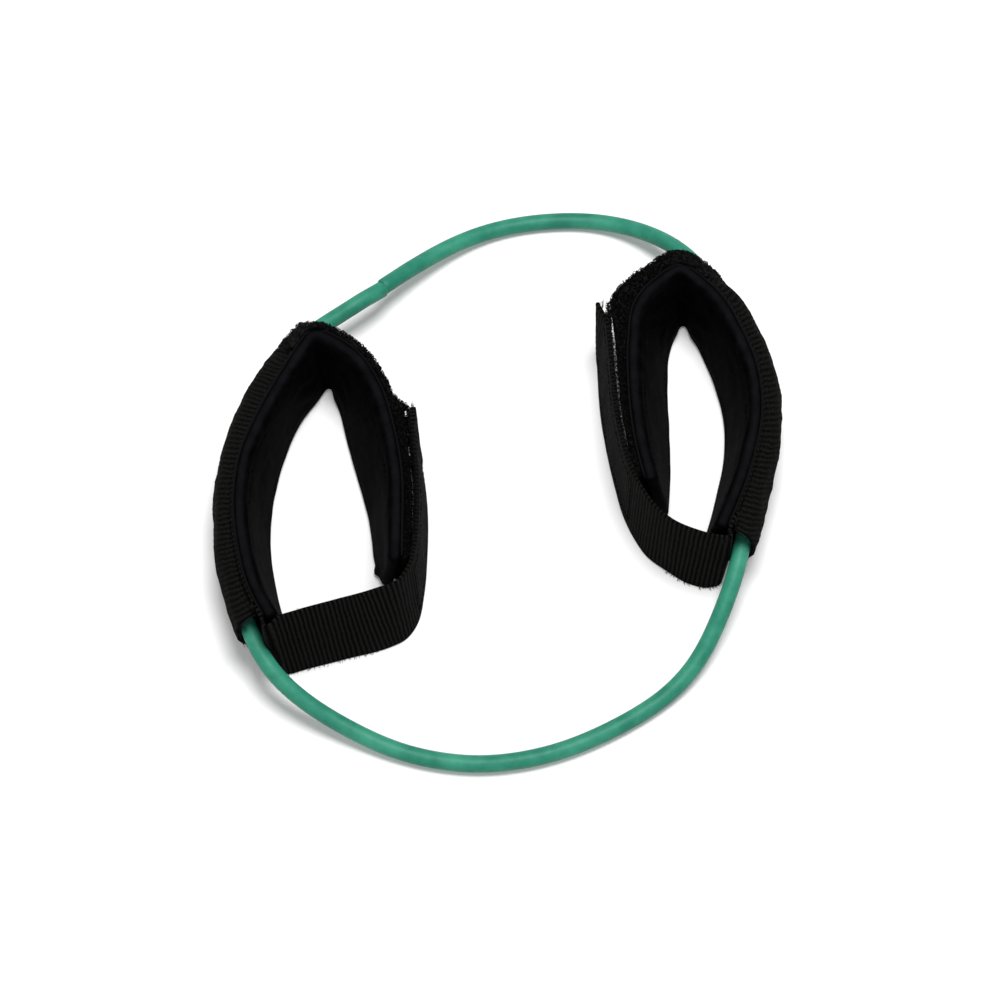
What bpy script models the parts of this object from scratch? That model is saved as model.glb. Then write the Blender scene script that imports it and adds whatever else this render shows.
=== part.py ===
"""Resistance loop band: one latex tube loop threaded through two padded ankle cuffs.

Metres, +Z up. The cuffs stand on their lower edges on z = 0, as they do in the photograph, with the
origin at the middle of the floor that the two cuffs cover.

Each fabric piece is a flat section stood on edge and carried along a route in plan. A route has a
lower line at the floor and an upper line at the pad's full height, so that a wall can lean and its
fold can open upwards. The lists are in millimetres, as measured in the photograph; the shift to the
origin and the change to metres come last. The right cuff is written mirrored, as a left one.
"""

import math

import bmesh
import bpy
from mathutils import Vector

MM = 0.001
CENTRE = Vector((-0.43, 13.32))  # middle of the cuffs' outline, in the lists' own coordinates

# Driving dimensions, in millimetres
GAP = 0.3  # between two pieces that touch
PAD_HEIGHT = 50.0
LINING_THICKNESS = 0.8
FOAM_THICKNESS = 3.6
BACKING_THICKNESS = 0.8
HEM_WIDTH = 6.0  # of the lining's turned edges on the outer face
EDGE_RADIUS = 2.4
FOLD_RADIUS = 1.5  # inside radius of the pad's fold
FOAM_INSET = 3.0  # from each end of the lining
WEBBING_THICKNESS = 1.3
STRAP_WIDTH = PAD_HEIGHT
LAP_LENGTH = 8.0  # of a strap's sewn end on the pad's outer face
TUBE_DIAMETER = 8.0
TUBE_WALL = 2.0
TUBE_SPACING = 24.0  # between two cut points of the tube
SLEEVE_DEPTH = 14.2
SLEEVE_MARGIN = 4.0  # the flat strip along each sewn edge
SLEEVE_ROOM = 0.7  # between the tube and the sleeve's crest
TUBE_HEIGHT = PAD_HEIGHT / 2 + 3.0  # of the tube's centre inside a sleeve
PILE_WIDTH = PAD_HEIGHT - 4.0
PILE_THICKNESS = 3.0  # with its loops
HOOK_WIDTH = STRAP_WIDTH - 12.0
HOOK_THICKNESS = 1.5
HOOK_INSET = (10.0, 2.0)  # from the strap's corner and from its tip
PLUG_LENGTH = 24.0
PLUG_RADIUS = 1.15
PLUG_RIB = 0.25  # how far the plug's ribs stand out

PAD_THICKNESS = LINING_THICKNESS + GAP + FOAM_THICKNESS + GAP + BACKING_THICKNESS
SLEEVE_FOOT = PAD_THICKNESS + GAP
SLEEVE_CREST = PAD_THICKNESS + SLEEVE_DEPTH
SLEEVE_EDGE = 2.0  # from the pad's edge to the sleeve's
TUBE_OFFSET = SLEEVE_CREST - WEBBING_THICKNESS - SLEEVE_ROOM - TUBE_DIAMETER / 2

# How finely the pieces are cut
STEP_LONGEST = 18.0
STEP_TURN = 20.0  # degrees
FOLD_STEPS = 6
ARCH_STEPS = 8
CORNER_STEPS = 2
LEVELS = tuple(PAD_HEIGHT * share for share in (0.14, 0.38, 0.62, 0.86))  # where tall faces are cut

# Routes of the pads' inner faces: lower x, y and upper x, y
LEFT_WALL = (
    (-91.5, -75.0, -97.0, -77.5),
    (-97.8, -61.0, -105.2, -62.5),
    (-102.8, -42.0, -110.6, -43.2),
    (-105.4, -22.0, -113.2, -22.2),
    (-104.6, -2.0, -111.4, -1.0),
    (-101.0, 18.0, -104.2, 19.4),
    (-94.0, 38.0, -95.0, 38.6),
    (-80.5, 58.5, -84.4, 58.5),
)
LEFT_WING = (
    (-80.5, 58.5, -84.4, 58.5),
    (-76.2, 46.0, -69.2, 48.4),
    (-73.0, 32.0, -59.9, 34.0),
    (-67.6, 12.0, -53.6, 14.0),
    (-61.2, -11.0, -49.5, -10.0),
    (-57.8, -33.0, -49.0, -34.0),
    (-53.4, -44.5, -49.2, -53.0),
)
RIGHT_WALL = (
    (-90.0, -32.5, -95.0, -35.0),
    (-95.3, -17.0, -102.0, -18.5),
    (-100.6, 2.5, -108.6, 1.2),
    (-104.6, 24.0, -113.0, 24.0),
    (-104.6, 42.0, -111.8, 43.4),
    (-101.2, 59.0, -106.0, 61.2),
    (-94.8, 77.0, -97.4, 78.6),
    (-87.8, 92.5, -83.4, 92.8),
)
RIGHT_WING = (
    (-87.8, 92.5, -83.4, 92.8),
    (-81.5, 77.0, -67.6, 77.0),
    (-80.0, 58.0, -64.2, 58.5),
    (-80.2, 36.0, -63.8, 35.0),
    (-80.2, 14.0, -65.8, 11.0),
    (-78.0, -10.0, -71.0, -13.0),
)
# Routes of the closing straps from their sewn laps to their tips, by their middle surface
LEFT_STRAP = (
    (-95.6, -83.6, -98.4, -83.7),
    (-90.0, -82.2, -93.0, -79.6),
    (-70.0, -76.6, -72.0, -71.8),
    (-50.0, -71.0, -55.0, -66.4),
    (-42.0, -67.5, -45.5, -62.5),
    (-36.8, -60.0, -39.9, -54.0),
    (-34.6, -48.0, -37.6, -44.0),
    (-33.6, -30.0, -36.8, -29.0),
    (-34.0, -8.0, -37.2, -10.0),
    (-36.0, 10.0, -39.0, 8.0),
    (-39.4, 27.0, -40.8, 24.5),
)
RIGHT_STRAP = (
    (-95.0, -43.0, -96.0, -42.6),
    (-87.0, -42.0, -87.6, -38.8),
    (-77.0, -35.6, -76.0, -32.6),
    (-68.8, -29.2, -68.8, -25.6),
    (-62.6, -19.6, -62.4, -15.2),
    (-57.6, -7.6, -57.6, -4.2),
    (-54.4, 5.6, -54.8, 7.2),
    (-51.6, 19.6, -52.6, 20.4),
    (-48.4, 41.0, -51.2, 38.0),
    (-47.2, 61.0, -50.0, 58.0),
    (-47.0, 79.0, -48.2, 78.0),
)
STRAP_CORNER = {"left": 72.5, "right": 57.0}  # from the sewn end to the bend where the tail turns
SLEEVE_SPAN = {"left": (11.0, 132.0), "right": (10.0, 124.5)}  # along the pad from the wall's end
PILE_SPAN = {"left": (133.5, 236.0), "right": (126.0, 219.0)}  # from the sleeve round the fold

# The tube's runs outside the sleeves: x, y and the height of its centre
TUBE_JOINT = Vector((-56.0, 102.2, 19.4))
TUBE_JOINT_AHEAD = Vector((0.68, 0.68, -0.27)).normalized()
FAR_RUN = (
    (-33.0, 124.2, 11.0),
    (-17.6, 135.7, 7.0),
    (-1.4, 143.3, 4.5),
    (14.7, 146.8, 4.3),
    (30.8, 148.2, 4.3),
    (47.3, 147.5, 4.6),
    (63.0, 142.2, 8.0),
    (76.6, 132.8, 14.0),
    (88.2, 120.0, 21.5),
    (95.4, 108.4, 25.5),
)
NEAR_RUN = (
    (107.6, -44.5, 27.0),
    (101.6, -59.0, 21.0),
    (94.6, -75.3, 13.0),
    (85.6, -88.9, 7.5),
    (73.4, -100.5, 4.6),
    (59.1, -109.9, 4.3),
    (43.8, -118.2, 4.3),
    (26.3, -125.6, 4.3),
    (9.9, -129.5, 4.3),
    (-4.5, -131.5, 4.3),
    (-19.1, -131.1, 4.3),
    (-33.7, -128.5, 4.3),
    (-47.9, -124.8, 4.8),
    (-62.2, -118.4, 7.0),
    (-75.5, -112.2, 11.0),
    (-87.2, -105.9, 16.0),
    (-96.6, -98.9, 21.0),
    (-105.6, -90.0, 26.0),
)
LAST_RUN = ((-92.4, 72.0, 25.0), (-79.8, 82.2, 22.6))

GREEN = (0.045, 0.260, 0.160, 1.0)
BLACK = (0.006, 0.006, 0.006, 1.0)
DARK = (0.012, 0.012, 0.012, 1.0)


def clear_scene():
    for old in list(bpy.data.objects):
        bpy.data.objects.remove(old, do_unlink=True)


def material(name, color, roughness):
    made = bpy.data.materials.new(name)
    made.use_nodes = True
    shader = made.node_tree.nodes["Principled BSDF"]
    shader.inputs["Base Color"].default_value = color
    shader.inputs["Roughness"].default_value = roughness
    return made


def length(a, b):
    return math.dist(a, b)


def slopes(points):
    """The direction of a smooth curve at each of its points, for points spaced unevenly."""
    steps = [length(a, b) for a, b in zip(points, points[1:])]
    rates = [
        [(q - p) / step for p, q in zip(a, b)]
        for a, b, step in zip(points, points[1:], steps)
    ]
    found = []
    for index in range(1, len(points) - 1):
        before = steps[index - 1]
        after = steps[index]
        pairs = zip(rates[index - 1], rates[index])
        found.append([(p * after + q * before) / (before + after) for p, q in pairs])
    first = [1.5 * p - 0.5 * q for p, q in zip(rates[0], found[0])]
    last = [1.5 * p - 0.5 * q for p, q in zip(rates[-1], found[-1])]
    return [first] + found + [last]


def turned(a, b):
    """Angle in degrees between two directions in plan."""
    turn = abs(math.degrees(math.atan2(a[1], a[0]) - math.atan2(b[1], b[0])))
    return min(turn, 360 - turn)


def smooth(points, longest):
    """Places and directions on a smooth curve through the points, closer together at a bend."""
    directions = slopes(points)
    made = []
    for index in range(len(points) - 1):
        start = points[index]
        end = points[index + 1]
        leave = directions[index]
        arrive = directions[index + 1]
        span = length(start, end)
        turn = turned(leave, arrive)
        if len(start) == 4:
            turn = max(turn, turned(leave[2:], arrive[2:]))
        count = max(math.ceil(span / longest), math.ceil(turn / STEP_TURN))
        for step in range(count + (index == len(points) - 2)):
            t = step / count
            place = []
            ahead = []
            for p, q, m, n in zip(start, end, leave, arrive):
                m = m * span
                n = n * span
                place.append(
                    (2 * t ** 3 - 3 * t ** 2 + 1) * p
                    + (t ** 3 - 2 * t ** 2 + t) * m
                    + (3 * t ** 2 - 2 * t ** 3) * q
                    + (t ** 3 - t ** 2) * n
                )
                ahead.append(
                    (6 * t ** 2 - 6 * t) * (p - q)
                    + (3 * t ** 2 - 4 * t + 1) * m
                    + (3 * t ** 2 - 2 * t) * n
                )
            made.append((place, ahead))
    return made


def left_of(direction):
    return Vector((-direction[1], direction[0])).normalized()


def stations(points):
    """Uprights along a route: lower place, upper place, and the way out from each."""
    made = []
    for place, ahead in smooth(points, STEP_LONGEST):
        lower = Vector(place[:2])
        upper = Vector(place[2:])
        made.append((lower, upper, left_of(ahead[:2]), left_of(ahead[2:])))
    return made


def fold_arc(corner, arriving, leaving):
    """Places and outward ways round a fold at the corner, turning from one outward way to the other."""
    begin = math.atan2(arriving.y, arriving.x)
    turn = (begin - math.atan2(leaving.y, leaving.x)) % (2 * math.pi)
    cut_back = FOLD_RADIUS * math.tan(turn / 2)
    ahead = Vector((arriving.y, -arriving.x))
    middle = corner - ahead * cut_back - arriving * FOLD_RADIUS
    made = []
    for step in range(FOLD_STEPS + 1):
        angle = begin - turn * step / FOLD_STEPS
        outward = Vector((math.cos(angle), math.sin(angle)))
        made.append((middle + outward * FOLD_RADIUS, outward))
    return made


def folded(wall, wing):
    """Uprights of the pad's wall, of its fold and of its free wing."""
    before = stations(wall)
    after = stations(wing)
    lower = fold_arc(before[-1][0], before[-1][2], after[0][2])
    upper = fold_arc(before[-1][1], before[-1][3], after[0][3])
    fold = [(low[0], high[0], low[1], high[1]) for low, high in zip(lower, upper)]
    clear = FOLD_RADIUS * 3
    corner = before[-1][0]
    kept_before = [upright for upright in before if (upright[0] - corner).length > clear]
    kept_after = [upright for upright in after if (upright[0] - corner).length > clear]
    return kept_before + fold + kept_after


def distances(uprights):
    """Distance of each upright along the route, at half height."""
    found = [0.0]
    for a, b in zip(uprights, uprights[1:]):
        found.append(found[-1] + ((b[0] + b[1] - a[0] - a[1]) / 2).length)
    return found


def upright_at(uprights, along):
    """The upright at a distance along the route, between its neighbours."""
    reach = distances(uprights)
    for index in range(len(reach) - 1):
        if along <= reach[index + 1] or index == len(reach) - 2:
            share = (along - reach[index]) / (reach[index + 1] - reach[index])
            pairs = zip(uprights[index], uprights[index + 1])
            return tuple(a.lerp(b, share) if 0 <= share <= 1 else a + (b - a) * share for a, b in pairs)


def cut(uprights, start, end):
    """The uprights between two distances, with one at each."""
    reach = distances(uprights)
    inner = [u for u, r in zip(uprights, reach) if start + 0.5 < r < end - 0.5]
    return [upright_at(uprights, start)] + inner + [upright_at(uprights, end)]


def place(upright, outward, height):
    """A place on an upright, as far out from its route and as high as asked."""
    share = height / PAD_HEIGHT
    lower, upper, lower_out, upper_out = upright
    point = lower + (upper - lower) * share
    point = point + (lower_out + (upper_out - lower_out) * share) * outward
    return Vector((point.x, point.y, height))


def to_part(point, side):
    """From the lists' millimetres to the part's metres."""
    return Vector((point.x * side - CENTRE.x, point.y - CENTRE.y, point.z)) * MM


def add_body(name, mesh, look):
    body = bpy.data.objects.new(name, mesh)
    body.data.materials.append(look)
    PARTS.objects.link(body)
    return body


def stand(name, uprights, section, side, look):
    """Loft a section between uprights. It leans and fans from one to the next, so they are unlike."""
    shape = bmesh.new()
    rings = []
    for upright in uprights:
        rings.append([shape.verts.new(to_part(place(upright, *point), side)) for point in section])
    count = len(section)
    for here, there in zip(rings, rings[1:]):
        for index in range(count):
            after = (index + 1) % count
            if section[after][1] > section[index][1]:
                shape.faces.new((here[index], here[after], there[after]))
                shape.faces.new((here[index], there[after], there[index]))
            else:
                shape.faces.new((here[index], here[after], there[index]))
                shape.faces.new((here[after], there[after], there[index]))
    shape.faces.new(rings[0])
    shape.faces.new(reversed(rings[-1]))
    bmesh.ops.recalc_face_normals(shape, faces=shape.faces)
    mesh = bpy.data.meshes.new(name)
    shape.to_mesh(mesh)
    shape.free()
    return add_body(name, mesh, look)


def corner(middle_w, middle_z, radius, start, end):
    """Points of a rounded corner of a section."""
    if radius == 0:
        return [(middle_w, middle_z)]
    made = []
    for step in range(CORNER_STEPS + 1):
        angle = math.radians(start + (end - start) * step / CORNER_STEPS)
        made.append((middle_w + radius * math.cos(angle), middle_z + radius * math.sin(angle)))
    return made


def edge_path(w_in, w_out, z_low, z_high, radius):
    """Round a section's lower edge, up its inner face and round its upper edge."""
    path = corner(w_out - radius, z_low + radius, radius, 0, -90)
    path += corner(w_in + radius, z_low + radius, radius, -90, -180)
    path += [(w_in, level) for level in LEVELS if z_low < level < z_high]
    path += corner(w_in + radius, z_high - radius, radius, 180, 90)
    path += corner(w_out - radius, z_high - radius, radius, 90, 0)
    return path


def solid_section(w_in, w_out, z_low, z_high, radius):
    levels = [(w_out, level) for level in reversed(LEVELS) if z_low < level < z_high]
    return edge_path(w_in, w_out, z_low, z_high, radius) + levels


def lining_section():
    """A sheet of cloth over the inner face and both edges, with a hem on the outer face."""
    skin = LINING_THICKNESS
    outer = edge_path(0, PAD_THICKNESS, 0, PAD_HEIGHT, EDGE_RADIUS)
    inner = edge_path(skin, PAD_THICKNESS - skin, skin, PAD_HEIGHT - skin, EDGE_RADIUS - skin)
    low = HEM_WIDTH
    high = PAD_HEIGHT - HEM_WIDTH
    out = PAD_THICKNESS
    back = PAD_THICKNESS - skin
    return [(out, low)] + outer + [(out, high), (back, high)] + inner[::-1] + [(back, low)]


def sleeve_section():
    """A strip of webbing arched over the tube, with a flat margin along each sewn edge."""
    low = SLEEVE_EDGE
    high = PAD_HEIGHT - SLEEVE_EDGE
    middle = (low + high) / 2
    reach = middle - low - SLEEVE_MARGIN
    rise = SLEEVE_CREST - SLEEVE_FOOT - WEBBING_THICKNESS
    outer = []
    inner = []
    for step in range(ARCH_STEPS + 1):
        angle = math.pi * step / ARCH_STEPS
        lift = rise * math.sin(angle)
        along = math.cos(angle)
        outer.append((SLEEVE_FOOT + WEBBING_THICKNESS + lift, middle - reach * along))
        inner.append((SLEEVE_FOOT + lift, middle - (reach - WEBBING_THICKNESS) * along))
    front = SLEEVE_FOOT + WEBBING_THICKNESS
    ends = [(front, high), (SLEEVE_FOOT, high)]
    return [(front, low)] + outer + ends + inner[::-1] + [(SLEEVE_FOOT, low)]


def tape_section(inner, thickness, width):
    low = (PAD_HEIGHT - width) / 2
    return solid_section(inner, inner + thickness, low, PAD_HEIGHT - low, 0)


def make_pad(name, wall, wing, side):
    """The padded strip: lining, foam and backing, the tube's sleeve and the pile tape."""
    pad = folded(wall, wing)
    whole = distances(pad)[-1]
    stand(name + "_pad_lining", pad, lining_section(), side, CLOTH)
    core_in = LINING_THICKNESS + GAP
    core = (core_in, core_in + FOAM_THICKNESS, core_in, PAD_HEIGHT - core_in, EDGE_RADIUS - core_in)
    foam = cut(pad, FOAM_INSET, whole - FOAM_INSET)
    stand(name + "_foam_core", foam, solid_section(*core), side, FOAM)
    back = PAD_THICKNESS - BACKING_THICKNESS
    low = HEM_WIDTH + GAP
    backing = solid_section(back, PAD_THICKNESS, low, PAD_HEIGHT - low, 0)
    stand(name + "_pad_backing", pad, backing, side, CLOTH)
    sleeve = cut(pad, *SLEEVE_SPAN[name])
    stand(name + "_tube_sleeve", sleeve, sleeve_section(), side, WEBBING)
    pile = tape_section(PAD_THICKNESS + GAP, PILE_THICKNESS, PILE_WIDTH)
    stand(name + "_pile_tape", cut(pad, *PILE_SPAN[name]), pile, side, PILE)
    return pad


def make_strap(name, pad, route, side):
    """The closing strap: a lap sewn on the pad's end, the run across the front, and the tail."""
    half = WEBBING_THICKNESS / 2
    lap = []
    for along in (LAP_LENGTH, LAP_LENGTH / 2, 0.5):
        upright = upright_at(pad, along)
        low = place(upright, PAD_THICKNESS + GAP + half, 0)
        high = place(upright, PAD_THICKNESS + GAP + half, PAD_HEIGHT)
        lap.append((low.x, low.y, high.x, high.y))
    strap = stations(lap + list(route))
    whole = distances(strap)[-1]
    bend = STRAP_CORNER[name]
    edge = (PAD_HEIGHT - STRAP_WIDTH) / 2
    webbing = solid_section(-half, half, edge, PAD_HEIGHT - edge, 0)
    stand(name + "_closing_strap", cut(strap, 0, bend - GAP / 2), webbing, side, WEBBING)
    tail = stand(name + "_strap_tail", cut(strap, bend + GAP / 2, whole), webbing, side, WEBBING)
    hook_span = (bend + HOOK_INSET[0], whole - HOOK_INSET[1])
    hooks = tape_section(half + GAP, HOOK_THICKNESS, HOOK_WIDTH)
    tape = stand(name + "_hook_tape", cut(strap, *hook_span), hooks, side, HOOKS)
    axis = to_part(place(upright_at(strap, bend), -half - GAP / 2, 0), side)
    empty = bpy.data.objects.new(name + "_tail_axis", None)
    empty.location = axis
    PARTS.objects.link(empty)
    for piece in (tail, tape):
        piece.parent = empty
        piece.matrix_parent_inverse.translation = -axis


def in_sleeve(name, pad, side):
    """The tube's places inside one sleeve, from the pad's end towards its fold."""
    start, end = SLEEVE_SPAN[name]
    count = 6
    made = []
    for step in range(count + 1):
        along = start + (end - start) * step / count
        point = place(upright_at(pad, along), TUBE_OFFSET, TUBE_HEIGHT)
        made.append((point.x * side, point.y, point.z))
    return made


def make_tube(left_pad, right_pad):
    """The latex tube: one hollow length whose two ends meet over the plug."""
    half = PLUG_LENGTH / 2 + 1
    ahead = TUBE_JOINT_AHEAD
    first = TUBE_JOINT + ahead * half
    last = TUBE_JOINT - ahead * half
    route = [tuple(first)] + list(FAR_RUN)
    route += in_sleeve("right", right_pad, -1)[::-1] + list(NEAR_RUN)
    route += in_sleeve("left", left_pad, 1) + list(LAST_RUN) + [tuple(last)]
    cut_points = [Vector(point) for point, way in smooth(route, TUBE_SPACING)]
    ends = ahead * GAP / 2
    points = [TUBE_JOINT + ends] + cut_points + [TUBE_JOINT - ends]
    line = bpy.data.curves.new("tube_line", "CURVE")
    line.dimensions = "3D"
    line.bevel_depth = TUBE_DIAMETER / 2 * MM
    line.bevel_resolution = 3
    spline = line.splines.new("POLY")
    spline.points.add(len(points) - 1)
    for point, spot in zip(points, spline.points):
        spot.co = (*to_part(point, 1), 1)
    shell = bpy.data.objects.new("tube_shell", line)
    PARTS.objects.link(shell)
    tube = add_body("latex_tube", bpy.data.meshes.new_from_object(shell), LATEX)
    bpy.data.objects.remove(shell, do_unlink=True)
    wall = tube.modifiers.new("wall", "SOLIDIFY")
    wall.thickness = TUBE_WALL * MM
    wall.offset = -1
    wall.use_even_offset = True


def make_plug():
    """The ribbed plug that the tube's two ends are pushed on and bonded to."""
    half = PLUG_LENGTH / 2
    rib = PLUG_RADIUS + PLUG_RIB
    side = [(0, half), (PLUG_RADIUS, half), (rib, half - 1.5), (rib, half - 4), (PLUG_RADIUS, half - 5)]
    profile = side + [(radius, -height) for radius, height in reversed(side)]
    shape = bmesh.new()
    dots = [shape.verts.new((radius * MM, 0, height * MM)) for radius, height in profile]
    for a, b in zip(dots, dots[1:]):
        shape.edges.new((a, b))
    mesh = bpy.data.meshes.new("tube_joint_plug")
    shape.to_mesh(mesh)
    shape.free()
    plug = add_body("tube_joint_plug", mesh, PLASTIC)
    turn = plug.modifiers.new("turn", "SCREW")
    turn.axis = "Z"
    turn.steps = 12
    turn.render_steps = 12
    turn.use_merge_vertices = True
    turn.merge_threshold = 0.00001
    plug.location = to_part(TUBE_JOINT, 1)
    plug.rotation_euler = TUBE_JOINT_AHEAD.to_track_quat("Z", "Y").to_euler()


clear_scene()
PARTS = bpy.data.collections.new("resistance_loop_band")
bpy.context.scene.collection.children.link(PARTS)

LATEX = material("green_latex", GREEN, 0.35)
CLOTH = material("black_cloth", BLACK, 0.9)
FOAM = material("foam", DARK, 0.95)
WEBBING = material("black_webbing", BLACK, 0.8)
PILE = material("black_pile", BLACK, 0.98)
HOOKS = material("black_hooks", DARK, 0.6)
PLASTIC = material("clear_plastic", (0.6, 0.6, 0.58, 1.0), 0.3)

left = make_pad("left", LEFT_WALL, LEFT_WING, 1)
right = make_pad("right", RIGHT_WALL, RIGHT_WING, -1)
make_strap("left", left, LEFT_STRAP, 1)
make_strap("right", right, RIGHT_STRAP, -1)
make_tube(left, right)
make_plug()
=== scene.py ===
import math
import random
from bisect import bisect_right
from itertools import accumulate

import bmesh
import bpy
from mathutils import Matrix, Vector, noise


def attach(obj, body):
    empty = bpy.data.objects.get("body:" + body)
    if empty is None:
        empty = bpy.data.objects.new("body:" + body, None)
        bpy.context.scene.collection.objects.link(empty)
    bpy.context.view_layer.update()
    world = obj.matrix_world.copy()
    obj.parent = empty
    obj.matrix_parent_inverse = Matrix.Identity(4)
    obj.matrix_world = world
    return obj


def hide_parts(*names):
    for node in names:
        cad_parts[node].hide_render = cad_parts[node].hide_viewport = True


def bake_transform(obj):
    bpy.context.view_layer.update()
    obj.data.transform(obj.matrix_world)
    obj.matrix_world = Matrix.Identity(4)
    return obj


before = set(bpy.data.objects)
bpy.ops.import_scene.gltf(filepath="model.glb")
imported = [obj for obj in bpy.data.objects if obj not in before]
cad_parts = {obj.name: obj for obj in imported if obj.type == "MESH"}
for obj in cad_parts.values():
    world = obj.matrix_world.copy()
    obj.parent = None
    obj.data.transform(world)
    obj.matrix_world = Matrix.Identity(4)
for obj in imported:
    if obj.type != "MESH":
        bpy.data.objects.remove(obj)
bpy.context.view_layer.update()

# The band is built from the same routes as its solids, in millimetres: s along a band of cloth, w
# out from its route, h up from the floor. The right cuff is written mirrored, as a left one.
MM = 0.001
CENTRE = Vector((-0.43, 13.32))  # middle of the cuffs' outline, in the lists' own coordinates
PHOTO_TILT = math.radians(65)  # of the photograph's camera, down from level
PHOTO_DISTANCE = 1.25
PAD_HEIGHT = 50.0
PAD_THICKNESS = 5.8
SEWN_ON = PAD_THICKNESS + 0.3  # where what is sewn on the pad's outer face begins
FOLD_RADIUS = 1.5
WEBBING = 1.3  # thickness of the straps and sleeves
TAPE_EDGE = 2.0  # from the pad's edge to the sleeve's and the pile's
SLEEVE_MARGIN = 4.0  # the flat strip along each sewn edge
PAD_ROUND = 2.85  # radius of the pad's edges
SEAM_IN = 6.2  # from the pad's edge to its inner seams
PILE_GROUND = 2.0
HOOK_EDGE = 6.0  # from the strap's edge to the hook tape's
HOOK_GROUND = 1.3
HOOK_ROOM = 2.15  # between the pile's ground and the middle of the tail that faces it
HIGHEST_LOOP = 50.2
TUBE_RADIUS = 4.0
TUBE_DRAWN = 0.975  # of the radius, as thin as the photograph shows the tube
TUBE_BORE = 2.0
TUBE_OFFSET = 14.0  # of its centre from the pad's route, inside a sleeve
TUBE_HEIGHT = 28.0
PLUG_HALF = 13.0  # from the joint to where the tube starts to bend
RIB_PITCH = 2.1
STEP_TURN = 6.0  # degrees between two cuts of a route
FACING_STEP = 12.5  # between the heights at which the tail's plan is kept
FACING_RUN = 95.0  # of the strap, back from its tip, that can face the pile
UV_SCALE = 0.1  # the cloths' patterns are in centimetres

# Routes as (x, y) at the floor and at the top edge.
LEFT_WALL = (
    (-91.5, -75.0, -97.0, -77.5), (-97.8, -61.0, -105.2, -62.5), (-102.8, -42.0, -110.6, -43.2),
    (-105.4, -22.0, -113.2, -22.2), (-104.6, -2.0, -111.4, -1.0), (-101.0, 18.0, -104.2, 19.4),
    (-94.0, 38.0, -95.0, 38.6), (-80.5, 58.5, -84.4, 58.5),
)
LEFT_WING = (
    (-80.5, 58.5, -84.4, 58.5), (-76.2, 46.0, -69.2, 48.4), (-73.0, 32.0, -59.9, 34.0),
    (-67.6, 12.0, -53.6, 14.0), (-61.2, -11.0, -49.5, -10.0), (-57.8, -33.0, -49.0, -34.0),
    (-53.4, -44.5, -49.2, -53.0),
)
RIGHT_WALL = (
    (-90.0, -32.5, -95.0, -35.0), (-95.3, -17.0, -102.0, -18.5), (-100.6, 2.5, -108.6, 1.2),
    (-104.6, 24.0, -113.0, 24.0), (-104.6, 42.0, -111.8, 43.4), (-101.2, 59.0, -106.0, 61.2),
    (-94.8, 77.0, -97.4, 78.6), (-87.8, 92.5, -83.4, 92.8),
)
RIGHT_WING = (
    (-87.8, 92.5, -83.4, 92.8), (-81.5, 77.0, -67.6, 77.0), (-80.0, 58.0, -64.2, 58.5),
    (-80.2, 36.0, -63.8, 35.0), (-80.2, 14.0, -65.8, 11.0), (-78.0, -10.0, -71.0, -13.0),
)
LEFT_STRAP = (
    (-98.6, -85.6, -100.9, -82.6), (-95.0, -86.0, -97.0, -79.6), (-88.0, -84.0, -90.0, -77.0),
    (-70.0, -79.0, -72.0, -71.6), (-50.0, -73.2, -55.0, -66.4), (-42.8, -69.2, -45.5, -62.5),
    (-37.8, -61.4, -39.9, -54.0), (-35.4, -48.0, -37.6, -44.0), (-34.2, -30.0, -36.8, -29.0),
    (-34.2, -8.0, -37.2, -10.0), (-36.0, 10.0, -39.0, 8.0), (-39.4, 27.0, -40.8, 24.5),
)
RIGHT_STRAP = (
    (-100.2, -41.8, -101.0, -40.6), (-96.6, -43.6, -97.2, -40.6), (-87.0, -42.0, -87.6, -38.2),
    (-77.0, -35.6, -76.0, -32.6), (-68.8, -29.2, -68.8, -25.6), (-62.6, -19.6, -62.4, -15.2),
    (-57.6, -7.6, -57.6, -4.2), (-54.4, 5.6, -54.8, 7.2), (-51.6, 19.6, -52.6, 20.4),
    (-48.4, 41.0, -51.2, 38.0), (-47.2, 61.0, -50.0, 58.0), (-47.0, 79.0, -48.2, 78.0),
)
CORNER = {"left": 72.5, "right": 57.0}  # from the strap's sewn end to the bend where it turns
SLEEVE = {"left": (11.0, 132.0), "right": (10.0, 124.5)}  # along the pad, where the tube is held
PILE = {"left": (133.5, 236.0), "right": (126.0, 219.0)}
LAP = 8.0  # of the strap's sewn end on the pad
TUNNEL = {"left": (7.0, 142.0), "right": (4.0, 134.5)}  # the sleeve with its spread mouths
SLANT = {"left": 0.3, "right": 0.6}  # of the sleeve's ribs
SWELL = {"left": 1.5, "right": 0.6}  # of the sleeve over the tube, towards the fold
BULGE = {"left": 3.6, "right": 2.6}  # of the strap where it rounds the pad's end
CREST_MOST = {"left": 21.4, "right": 21.6}  # of the sleeve round the fold
MOUTH_SPREAD = {"left": 1.2, "right": 2.0}
SLACK = {"left": 1.2, "right": 5.0}  # of the pile tape off the pad near the fold
SLACK_MOST = 9.0  # and on the wing
SLACK_LOW = 5.0  # more at the wing's foot
SLACK_FROM = {"left": (178.0, 13.0), "right": (136.0, 26.0)}  # where it grows, and over how far
PILE_MORE = {"left": 18.5, "right": 18.0}  # the pile's frayed run on to the wing's end
TIP_DRAW = {"left": 3.0, "right": 0.6}  # how far the tail's tip rounds down
HOOK_SHORT = {"left": 3.0, "right": -1.0}  # how far before the tip the hook tape ends
HOOK_PART = {"left": 1.2, "right": 2.4}  # how far it has come off the webbing there
KINK = {"left": 1.9, "right": 0.0}  # how far the wing's lower corner bends in
RIB_LEAN = {"left": 0.05, "right": 0.03}  # of the strap's ribs
LOOPS = 5400  # of the pile, on each cuff
MOUTH_LOOPS = 900
MOUTH_FRAYS = 150
LAP_FRAYS = 46
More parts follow.
